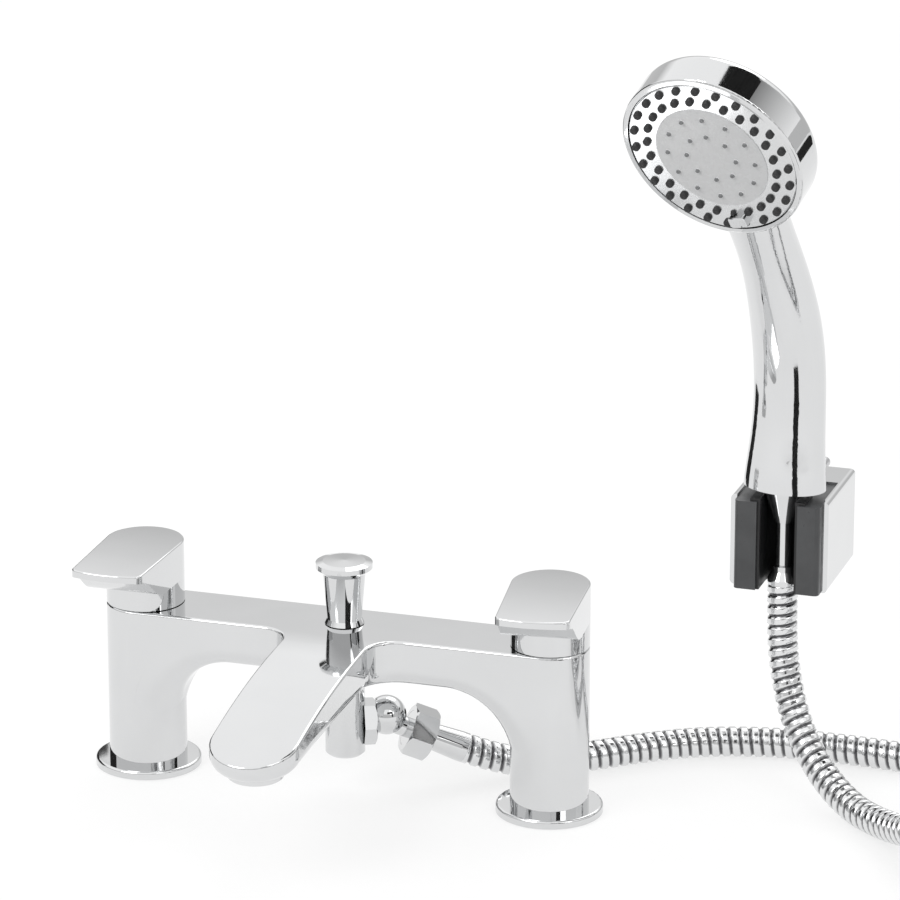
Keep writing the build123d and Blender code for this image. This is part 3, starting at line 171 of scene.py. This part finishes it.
SHADED_FROM = 1.05            # glow at its lower edge, and at its upper edge
SHADED_TO = 0.22
CARD_GREY = 0.012
CARD_GRAIN = 40
CARD_HAZE_LEAST = 0.8
CARD_HAZE_MOST = 1.0

# Spray face: rubber tips over the ends of the nozzles
HAND_TURN_DEG = -12.4         # how far the hand shower is turned about Z
NOZZLE_RINGS = ((0.0340, 0.0), (0.0284, 0.5))      # radius, and turn as a share of one step
NOZZLES_IN_RING = 24
TIP_OUTLINE = (               # radius, and height above the face, from the foot to the hollow in the top
    (0.00172, 0.0),
    (0.00168, 0.0009),
    (0.00142, 0.00135),
    (0.0009, 0.00152),
    (0.00045, 0.00146),
    (0.00036, 0.00135),
    (0.0, 0.00135),
)
TIP_SIDES = 16
TAB_AT_DEG = -78.0            # the finger tab, and how far from its middle no tip stands
TAB_CLEAR_DEG = 9.0
CENTRE_TIP_START = 0.00028    # the centre's little tips stand higher than this
CENTRE_TIP_END = 0.00045

# Hose: the route's points, as in the part's source
HOSE_D = 0.013
RIB_PITCH = 0.0047
RIB_DEPTH = 0.0009
RIB_GROOVE = 0.12             # flat of the groove and run of the slope, as shares of half a pitch
RIB_SLOPE = 0.42
RIB_SAMPLES = 12              # points along one rib, and round the hose
ROUND_SAMPLES = 18
ROUTE_ORDER = 3
ROUTE_STEPS = 16
MIXER_EXIT = (0.04625, 0.02007, 0.01490)
MIXER_ROUTE = (
    MIXER_EXIT,
    (0.0571, 0.02512, 0.00982),
    (0.0702, 0.0326, 0.00655),
    (0.094, 0.047, 0.00655),
    (0.113, 0.064, 0.00655),
    (0.137, 0.0795, 0.00655),
    (0.168, 0.088, 0.00655),
    (0.203, 0.0885, 0.00655),
    (0.240, 0.085, 0.00655),
    (0.275, 0.0869, 0.00655),
    (0.310, 0.0864, 0.00655),
)
HANDSET_ROUTE = (
    (0.2634, -0.0286, 0.0201),
    (0.2513, -0.0147, 0.0154),
    (0.2401, -0.0011, 0.0100),
    (0.2286, 0.0113, 0.0070),
    (0.2157, 0.0232, 0.00655),
    (0.2012, 0.0359, 0.0119),
    (0.1887, 0.0468, 0.0231),
    (0.1797, 0.0548, 0.0391),
    (0.1751, 0.0589, 0.0581),
    (0.1740, 0.0600, 0.0750),
    (0.1740, 0.0600, 0.0900),
)
COIL_X = 0.328
COIL_Y = 0.012
COIL_OUTER_R = 0.0744
COIL_STEP = 0.0136            # from one turn to the next inside it
COIL_LAYER = 0.01355          # rise where the hose climbs over its first layer
COIL_Z = 0.00655
COIL_START_DEG = 90.0
COIL_TURNED_DEG = 945.0
COIL_POINT_DEG = 15.0

# Diverter spring: its wire as in the part's source, its place and height from the CAD node
SPRING_R = 0.0055             # to the middle of the wire
SPRING_WIRE_R = 0.00045
SPRING_TURNS = 5
SPRING_TURN_STEPS = 32
WIRE_SAMPLES = 10


# Shared by the pieces below
def linked(name, data):
    """New object in the scene."""
    made = bpy.data.objects.new(name, data)
    bpy.context.scene.collection.objects.link(made)
    return made


def meshed(name, spots, faces, smooth=True):
    """New mesh object in the scene."""
    mesh = bpy.data.meshes.new(name)
    mesh.from_pydata(spots, [], faces)
    mesh.polygons.foreach_set("use_smooth", [smooth] * len(mesh.polygons))
    return linked(name, mesh)


def corners_of(node):
    """Corners of the box round a piece."""
    return [node.matrix_world @ Vector(corner) for corner in node.bound_box]


def joint_named(name):
    """The joint's entry in the frame."""
    return next(joint for joint in frame["joints"] if joint["name"] == name)


# Hose
def coil_place(turned):
    """Where the coil is after so many degrees: in towards its middle, over itself, and out again."""
    half = COIL_TURNED_DEG / 2
    radius = COIL_OUTER_R - COIL_STEP * (half - abs(turned - half)) / 360
    climb = min(max((turned - half) / 180 + 0.5, 0.0), 1.0)     # over the half turn round the middle
    lift = COIL_LAYER * (1 - math.cos(math.pi * climb)) / 2
    angle = math.radians(COIL_START_DEG - turned)
    return (COIL_X + radius * math.cos(angle), COIL_Y + radius * math.sin(angle), COIL_Z + lift)


def hose_route():
    """Control points from the mixer through the coil to the hand shower."""
    stations = int(COIL_TURNED_DEG / COIL_POINT_DEG)
    coil = [coil_place(i * COIL_POINT_DEG) for i in range(stations + 1)]
    return list(MIXER_ROUTE) + coil + list(HANDSET_ROUTE)


def smooth_line(name, points):
    """Points along the NURBS spline that the route's points steer."""
    curve = bpy.data.curves.new(name, "CURVE")
    curve.dimensions = "3D"
    spline = curve.splines.new("NURBS")
    spline.points.add(len(points) - 1)
    for spot, point in zip(spline.points, points):
        spot.co = (*point, 1.0)
    spline.order_u = ROUTE_ORDER
    spline.use_endpoint_u = True
    spline.resolution_u = ROUTE_STEPS
    carrier = bpy.data.objects.new(name, curve)
    line = bpy.data.meshes.new_from_object(carrier)
    found = np.array([v.co[:] for v in line.vertices])
    bpy.data.objects.remove(carrier)
    bpy.data.curves.remove(curve)
    bpy.data.meshes.remove(line)
    return found


def evenly(line, step):
    """The same line with its points about one step apart, and how far along it each of them is."""
    runs = np.linalg.norm(np.diff(line, axis=0), axis=1)
    along = np.concatenate([[0.0], np.cumsum(runs)])
    places = np.linspace(0.0, along[-1], int(round(along[-1] / step)) + 1)
    return np.stack([np.interp(places, along, line[:, k]) for k in range(3)], axis=1), places


def carried_frames(line):
    """Two directions square to the line at each point, carried along without twist."""
    ahead = np.gradient(line, axis=0)
    ahead /= np.linalg.norm(ahead, axis=1)[:, None]
    side = np.cross(ahead[0], (0.0, 0.0, 1.0))
    sides = []
    for forward in ahead:
        side = side - forward * np.dot(side, forward)
        side /= np.linalg.norm(side)
        sides.append(side)
    sides = np.array(sides)
    return sides, np.cross(ahead, sides)


def rib_height(turn):
    """1 on the crown of the wound strip, 0 in the groove between two turns of it."""
    away = np.abs(turn % 1.0 - 0.5) * 2
    rise = np.clip((away - RIB_GROOVE) / RIB_SLOPE, 0.0, 1.0)
    return rise * rise * (3 - 2 * rise)


def round_bar(name, line, angles, radius):
    """Closed bar round a line, its radius given for each point of the line and each angle."""
    across, over = carried_frames(line)
    cosines = np.cos(angles)[None, :, None]
    sines = np.sin(angles)[None, :, None]
    ring = across[:, None, :] * cosines + over[:, None, :] * sines
    spots = (line[:, None, :] + ring * radius[:, :, None]).reshape(-1, 3)
    faces = []
    around = len(angles)
    last = (len(line) - 1) * around
    for low in range(0, last, around):
        for j in range(around):
            k = (j + 1) % around
            faces.append((low + j, low + k, low + around + k, low + around + j))
    faces.append(tuple(range(around - 1, -1, -1)))
    faces.append(tuple(range(last, last + around)))
    return meshed(name, spots.tolist(), faces)


def wound_hose(name, line, places):
    """Metal hose wound from one strip: a tube whose ribs run round it as a screw."""
    angles = np.linspace(0.0, 2 * math.pi, ROUND_SAMPLES, endpoint=False)
    turns = places[:, None] / RIB_PITCH - angles[None, :] / (2 * math.pi)
    height = rib_height(turns)
    hose = round_bar(name, line, angles, HOSE_D / 2 - RIB_DEPTH * (1 - height))
    crown = hose.data.attributes.new("crown", "FLOAT", "POINT")
    crown.data.foreach_set("value", height.reshape(-1).astype(np.float32))
    hose.data.update()
    return hose


# Diverter spring
def working_spring(name):
    """Spring in the place of the CAD node, on the root body."""
    corners = corners_of(nodes["diverter_spring"])
    foot = min(corner.z for corner in corners)
    top = max(corner.z for corner in corners)
    axis_x = sum(corner.x for corner in corners) / len(corners)
    axis_y = sum(corner.y for corner in corners) / len(corners)
    turned = np.linspace(0.0, SPRING_TURNS, SPRING_TURNS * SPRING_TURN_STEPS + 1)
    wire_x = axis_x + SPRING_R * np.cos(2 * math.pi * turned)
    wire_y = axis_y + SPRING_R * np.sin(2 * math.pi * turned)
    wire_z = foot + SPRING_WIRE_R + (top - foot - 2 * SPRING_WIRE_R) * turned / SPRING_TURNS
    line = np.stack([wire_x, wire_y, wire_z], axis=1)
    angles = np.linspace(0.0, 2 * math.pi, WIRE_SAMPLES, endpoint=False)
    spring = round_bar(name, line, angles, np.full((len(line), WIRE_SAMPLES), SPRING_WIRE_R))
    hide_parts("diverter_spring")
    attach(spring, "root")
    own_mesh(spring)
    return spring


# Materials
def material(name, colour, metallic=0.0):
    """New material, its node tree and its shader."""
    made = bpy.data.materials.new(name)
    made.use_nodes = True
    tree = made.node_tree
    shader = tree.nodes["Principled BSDF"]
    shader.inputs["Base Color"].default_value = (*colour, 1.0)
    shader.inputs["Metallic"].default_value = metallic
    return made, tree, shader


def noise(tree, scale, detail=3.0, stretch=(1.0, 1.0, 1.0)):
    """Noise that is fixed to the piece, as a socket from about NOISE_LOW to NOISE_HIGH."""
    place = tree.nodes.new("ShaderNodeTexCoord")
    fit = tree.nodes.new("ShaderNodeMapping")
    fit.inputs["Scale"].default_value = stretch
    cloud = tree.nodes.new("ShaderNodeTexNoise")
    cloud.inputs["Scale"].default_value = scale
    cloud.inputs["Detail"].default_value = detail
    tree.links.new(place.outputs["Object"], fit.inputs["Vector"])
    tree.links.new(fit.outputs["Vector"], cloud.inputs["Vector"])
    return cloud.outputs["Fac"]


def spread(tree, value, low, high, start=NOISE_LOW, end=NOISE_HIGH):
    """Value from start to end, as a number from low to high."""
    node = tree.nodes.new("ShaderNodeMapRange")
    for socket, number in (("From Min", start), ("From Max", end), ("To Min", low), ("To Max", high)):
        node.inputs[socket].default_value = number
    tree.links.new(value, node.inputs["Value"])
    return node.outputs["Result"]


def between(tree, value, first, second):
    """Colour that goes from first to second, colours or sockets, as the value goes from 0 to 1."""
    node = tree.nodes.new("ShaderNodeMix")
    node.data_type = "RGBA"
    tree.links.new(value, node.inputs["Factor"])
    for name, end in (("A", first), ("B", second)):
        if isinstance(end, tuple):
            node.inputs[name].default_value = (*end, 1.0)
        else:
            tree.links.new(end, node.inputs[name])
    return node.outputs["Result"]


def coordinate(tree, axis, space="Object"):
    """X, Y or Z of the place that is shaded, as a socket."""
    place = tree.nodes.new("ShaderNodeTexCoord")
    parts = tree.nodes.new("ShaderNodeSeparateXYZ")
    tree.links.new(place.outputs[space], parts.inputs["Vector"])
    return parts.outputs[axis]


def worked_out(tree, operation, first, second):
    """Result of one Math operation on two sockets."""
    node = tree.nodes.new("ShaderNodeMath")
    node.operation = operation
    tree.links.new(first, node.inputs[0])
    tree.links.new(second, node.inputs[1])
    return node.outputs[0]


def tinted(tree, shader, colour, shade, cloud):
    """Base colour that the noise varies between the colour and a darker share of it."""
    darkest = tuple(shade * c for c in colour)
    tree.links.new(between(tree, spread(tree, cloud, 0, 1), colour, darkest), shader.inputs["Base Color"])


def hazed(tree, shader, cloud, least, most):
    """Roughness that the noise varies between two values."""
    tree.links.new(spread(tree, cloud, least, most), shader.inputs["Roughness"])


def raised(tree, shader, height, distance, under=None):
    """Bump of that height in metres, on top of another bump if one is given."""
    node = tree.nodes.new("ShaderNodeBump")
    node.inputs["Strength"].default_value = 1.0
    node.inputs["Distance"].default_value = distance
    tree.links.new(height, node.inputs["Height"])
    if under is not None:
        tree.links.new(under, node.inputs["Normal"])
    tree.links.new(node.outputs["Normal"], shader.inputs["Normal"])
    return node.outputs["Normal"]


def chrome(name, colour, haze, wave):
    """Bright plate over a polished casting: faint waves, a little haze and finger smears."""
    made, tree, shader = material(name, colour, metallic=1.0)
    tinted(tree, shader, colour, PLATE_SHADE, noise(tree, PLATE_SHADE_GRAIN))
    smear = noise(tree, SMEAR_GRAIN, SMEAR_DETAIL, SMEAR_STRETCH)
    hazed(tree, shader, smear, haze * SMEAR_LEAST, haze * SMEAR_MOST)
    slow = raised(tree, shader, noise(tree, PLATE_WAVE_GRAIN, detail=1.0), wave)
    raised(tree, shader, noise(tree, PLATE_PITS_GRAIN, detail=2.0), wave / PLATE_PITS_SHARE, slow)
    return made


def lever_plate(name, node):
    """The same plate on a lever, whose top is very slightly crowned along its length."""
    made = chrome(name, PLATE, PLATE_HAZE, PLATE_WAVE)
    tree = made.node_tree
    shader = tree.nodes["Principled BSDF"]
    front = min(corner.y for corner in corners_of(node))
    back = max(corner.y for corner in corners_of(node))
    along = spread(tree, coordinate(tree, "Y"), -1.0, 1.0, front, back)
    squared = worked_out(tree, "MULTIPLY", along, along)
    crown = spread(tree, squared, 1.0, 0.0, 0.0, 1.0)
    raised(tree, shader, crown, LEVER_CROWN, shader.inputs["Normal"].links[0].from_socket)
    return made


def brushed(name, colour, haze, grain, stretch):
    """Metal with fine lines from a tool, along or round the piece."""
    made, tree, shader = material(name, colour, metallic=1.0)
    tinted(tree, shader, colour, METAL_SHADE, noise(tree, METAL_SHADE_GRAIN, detail=4.0))
    lines = noise(tree, grain, detail=2.0, stretch=stretch)
    hazed(tree, shader, lines, haze * METAL_LEAST, haze * METAL_MOST)
    raised(tree, shader, lines, METAL_LINE_DEPTH)
    return made


def moulded(name, colour, haze, grain, depth, shade):
    """Moulded plastic or rubber with a fine grain and slight changes of tone."""
    made, tree, shader = material(name, colour)
    tinted(tree, shader, colour, shade, noise(tree, MOULDED_SHADE_GRAIN, detail=4.0))
    hazed(tree, shader, noise(tree, MOULDED_HAZE_GRAIN), haze * MOULDED_LEAST, haze * MOULDED_MOST)
    raised(tree, shader, noise(tree, grain, detail=2.0), depth)
    return made


def hose_plate():
    """Plated strip: bright on the crown of each rib, dull and darker down in the groove, where painted shade
    darkens its colour.
    """
    made, tree, shader = material("hose_plate", HOSE_CROWN, metallic=1.0)
    crown = tree.nodes.new("ShaderNodeAttribute")
    crown.attribute_name = "crown"
    # painted shade: the colour goes from the crown's plate to the dark groove colour down in each groove
    bright = spread(tree, crown.outputs["Fac"], 0, 1, 0.0, HOSE_UNSHADED_FROM)
    tree.links.new(between(tree, bright, HOSE_GROOVE_SHADE, HOSE_CROWN), shader.inputs["Base Color"])
    hazed(tree, shader, noise(tree, HOSE_SMEAR_GRAIN, detail=4.0), HOSE_HAZE_LEAST, HOSE_HAZE_MOST)
    raised(tree, shader, noise(tree, HOSE_PITS_GRAIN, detail=2.0), HOSE_PITS_DEPTH)
    return made


def dress_nodes():
    """Gives each CAD node the material that belongs to its slot in the record."""
    looks = {}
    for make, table in ((chrome, PLATED), (brushed, BRUSHED), (moulded, MOULDED)):
        for row in table:
            looks[row[0]] = make(*row)
    for node in nodes.values():
        kind = node.data.materials[0].name.split(".")[0]
        node.data.materials[0] = looks[kind]
    return looks


# Spray face
def face_place():
    """Middle of the spray face, and the directions across it, up it and out of it."""
    joint = joint_named("spray_select")
    out = Vector(joint["axis"]).normalized()
    turn = math.radians(HAND_TURN_DEG)
    across = Vector((math.cos(turn), math.sin(turn), 0.0))
    return Vector(joint["pos_m"]), across, out.cross(across), out


def nozzle_tips():
    """One rubber tip over each nozzle, left out where the finger tab stands."""
    middle, across, up, out = face_place()
    spots = []
    faces = []
    for ring, shift in NOZZLE_RINGS:
        for i in range(NOZZLES_IN_RING):
            at = 360 * (i + shift) / NOZZLES_IN_RING
            if abs((at - TAB_AT_DEG + 180) % 360 - 180) < TAB_CLEAR_DEG:
                continue
            way = math.radians(at)
            foot = middle + (across * math.cos(way) + up * math.sin(way)) * ring
            first = len(spots)
            for radius, height in TIP_OUTLINE:
                for k in range(TIP_SIDES):
                    way = 2 * math.pi * k / TIP_SIDES
                    spots.append(foot + (across * math.cos(way) + up * math.sin(way)) * radius + out * height)
            for row in range(len(TIP_OUTLINE) - 1):
                low = first + row * TIP_SIDES
                for k in range(TIP_SIDES):
                    n = (k + 1) % TIP_SIDES
                    faces.append((low + k, low + n, low + TIP_SIDES + n, low + TIP_SIDES + k))
    return meshed("nozzle_tips", spots, faces)


def centre_disc_with_painted_light():
    """Pale disc, lightened past its own grey as painted light for its downward face, whose little tips, which
    stand out of it, are a darker grey.
    """
    made, tree, shader = material("centre_disc_with_painted_light", DISC_PALE_WITH_PAINTED_LIGHT)
    middle, _, _, out = face_place()
    place = tree.nodes.new("ShaderNodeTexCoord")
    away = tree.nodes.new("ShaderNodeVectorMath")
    away.operation = "DOT_PRODUCT"
    away.inputs[1].default_value = out
    tree.links.new(place.outputs["Object"], away.inputs[0])
    level = middle.dot(out)
    tip = spread(tree, away.outputs["Value"], 0.0, 1.0, level + CENTRE_TIP_START, level + CENTRE_TIP_END)
    # the pale part of this colour holds painted light for the downward face
    tree.links.new(between(tree, tip, DISC_PALE_WITH_PAINTED_LIGHT, DISC_TIP), shader.inputs["Base Color"])
    hazed(tree, shader, noise(tree, DISC_HAZE_GRAIN), DISC_HAZE_LEAST, DISC_HAZE_MOST)
    raised(tree, shader, noise(tree, DISC_PITS_GRAIN, detail=2.0), DISC_PITS_DEPTH)
    return made


# Studio
def set_camera():
    """Camera that looks as the photograph does."""
    data = bpy.data.cameras.new("camera")
    data.sensor_width = SENSOR
    data.lens = LENS
    data.clip_end = SIGHT_END
    camera = linked("camera", data)
    place = VIEW_RIGHT * AIM_RIGHT + VIEW_UP * AIM_UP + VIEW_BACK * CAMERA_DISTANCE
    turn = Matrix((VIEW_RIGHT, VIEW_UP, VIEW_BACK)).transposed().to_4x4()
    camera.matrix_world = Matrix.Translation(place) @ turn
    bpy.context.scene.camera = camera


def seen_rays(tree):
    """1 for the rays that show the background: from the camera, off gloss and through glass."""
    path = tree.nodes.new("ShaderNodeLightPath")
    sight = worked_out(tree, "MAXIMUM", path.outputs["Is Camera Ray"], path.outputs["Is Glossy Ray"])
    return worked_out(tree, "MAXIMUM", sight, path.outputs["Is Transmission Ray"])


def panel(name, width, height):
    """Flat square-cornered sheet in the XZ plane, its middle at the origin."""
    x = width / 2
    z = height / 2
    return meshed(name, [(-x, 0, -z), (x, 0, -z), (x, 0, z), (-x, 0, z)], [(0, 1, 2, 3)], smooth=False)


def make_floor():
    """White paper that glows by itself and takes a soft shadow."""
    floor = panel("floor", 2 * FLOOR_HALF, 2 * FLOOR_HALF)
    floor.matrix_world = Matrix.Translation((0, 0, -FLOOR_DROP)) @ Matrix.Rotation(math.radians(90), 4, "X")
    made = bpy.data.materials.new("floor_paper")
    made.use_nodes = True
    tree = made.node_tree
    tree.nodes.clear()
    paper = tree.nodes.new("ShaderNodeBsdfDiffuse")
    cloud = spread(tree, noise(tree, FLOOR_GRAIN), 0, 1)
    tree.links.new(between(tree, cloud, FLOOR_PAPER, FLOOR_PAPER_DARK), paper.inputs["Color"])
    glow = tree.nodes.new("ShaderNodeEmission")
    strength = spread(tree, seen_rays(tree), 0.0, FLOOR_GLOW, 0.0, 1.0)
    tree.links.new(strength, glow.inputs["Strength"])
    total = tree.nodes.new("ShaderNodeAddShader")
    tree.links.new(paper.outputs[0], total.inputs[0])
    tree.links.new(glow.outputs[0], total.inputs[1])
    out = tree.nodes.new("ShaderNodeOutputMaterial")
    tree.links.new(total.outputs[0], out.inputs["Surface"])
    floor.data.materials.append(made)


def hang_card(made, name, middle, width, height, turn, tilt):
    """One card that only mirroring surfaces see."""
    card = panel(name, width, height)
    turned = Matrix.Rotation(math.radians(turn), 4, "Z") @ Matrix.Rotation(math.radians(tilt), 4, "X")
    card.matrix_world = Matrix.Translation(middle) @ turned
    card.data.materials.append(made)
    card.visible_camera = False
    card.visible_diffuse = False
    card.visible_shadow = False


def make_cards():
    """Dark cards that the plate mirrors as dark streaks, and a card that glows from pale to dark."""
    felt, tree, shader = material("card_felt", (CARD_GREY,) * 3)
    hazed(tree, shader, noise(tree, CARD_GRAIN), CARD_HAZE_LEAST, CARD_HAZE_MOST)
    for card in CARDS:
        hang_card(felt, *card)
    shaded, tree, shader = material("card_shaded", (CARD_GREY,) * 3)
    half = SHADED_HEIGHT / 2
    up = spread(tree, coordinate(tree, "Z"), 0.0, 1.0, -half, half)
    tree.links.new(between(tree, up, (SHADED_FROM,) * 3, (SHADED_TO,) * 3), shader.inputs["Emission Color"])
    shader.inputs["Emission Strength"].default_value = 1.0
    hazed(tree, shader, noise(tree, CARD_GRAIN), CARD_HAZE_LEAST, CARD_HAZE_MOST)
    hang_card(shaded, *SHADED_CARD)


def make_lamps():
    """Soft round lamps, each turned to the mixer."""
    for name, place, size, power in LAMPS:
        data = bpy.data.lights.new(name, "AREA")
        data.shape = "DISK"
        data.size = size
        data.energy = power
        lamp = linked(name, data)
        back = (Vector(place) - LAMP_AIM).to_track_quat("Z", "Y")
        lamp.matrix_world = Matrix.Translation(place) @ back.to_matrix().to_4x4()


def make_world():
    """Even light on dull surfaces, white for the camera, and a room with a grey horizon for the plate."""
    world = bpy.data.worlds.new("studio")
    bpy.context.scene.world = world
    world.use_nodes = True
    tree = world.node_tree
    tree.nodes.clear()
    lift = spread(tree, coordinate(tree, "Z", "Generated"), 0.0, 1.0, HORIZON_END, OVERHEAD_START)
    mirrored = between(tree, lift, (HORIZON_GREY,) * 3, (OVERHEAD_WHITE,) * 3)
    path = tree.nodes.new("ShaderNodeLightPath")
    room = tree.nodes.new("ShaderNodeBackground")
    tree.links.new(between(tree, path.outputs["Is Camera Ray"], mirrored, WHITE), room.inputs["Color"])
    light = tree.nodes.new("ShaderNodeBackground")
    light.inputs["Strength"].default_value = AMBIENT
    light.inputs["Color"].default_value = (*WHITE, 1.0)
    mix = tree.nodes.new("ShaderNodeMixShader")
    tree.links.new(seen_rays(tree), mix.inputs["Fac"])
    tree.links.new(light.outputs[0], mix.inputs[1])
    tree.links.new(room.outputs[0], mix.inputs[2])
    out = tree.nodes.new("ShaderNodeOutputWorld")
    tree.links.new(mix.outputs[0], out.inputs["Surface"])


# The scene
set_camera()
hose_line, hose_places = evenly(smooth_line("hose_line", hose_route()), RIB_PITCH / RIB_SAMPLES)
hose = wound_hose("shower_hose", hose_line, hose_places)
hose.data.materials.append(hose_plate())
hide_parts("hose_mixer_run", "hose_coil", "hose_handset_run")
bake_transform(hose)
looks = dress_nodes()
spring = working_spring("working_spring")
spring.data.materials.append(looks["steel"])
for lever in ("hot_lever", "cold_lever"):
    nodes[lever].data.materials[0] = lever_plate(lever + "_plate", nodes[lever])
nodes["spray_centre"].data.materials[0] = centre_disc_with_painted_light()
nodes["spray_face_plate"].data.materials[0] = chrome("satin_plate", PLATE, SATIN_HAZE, SATIN_WAVE)
tips = nozzle_tips()
tips.data.materials.append(looks["nozzle_rubber"])
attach(tips, "spray_face")
make_floor()
make_cards()
make_lamps()
make_world()
bpy.context.scene.view_settings.view_transform = "Standard"
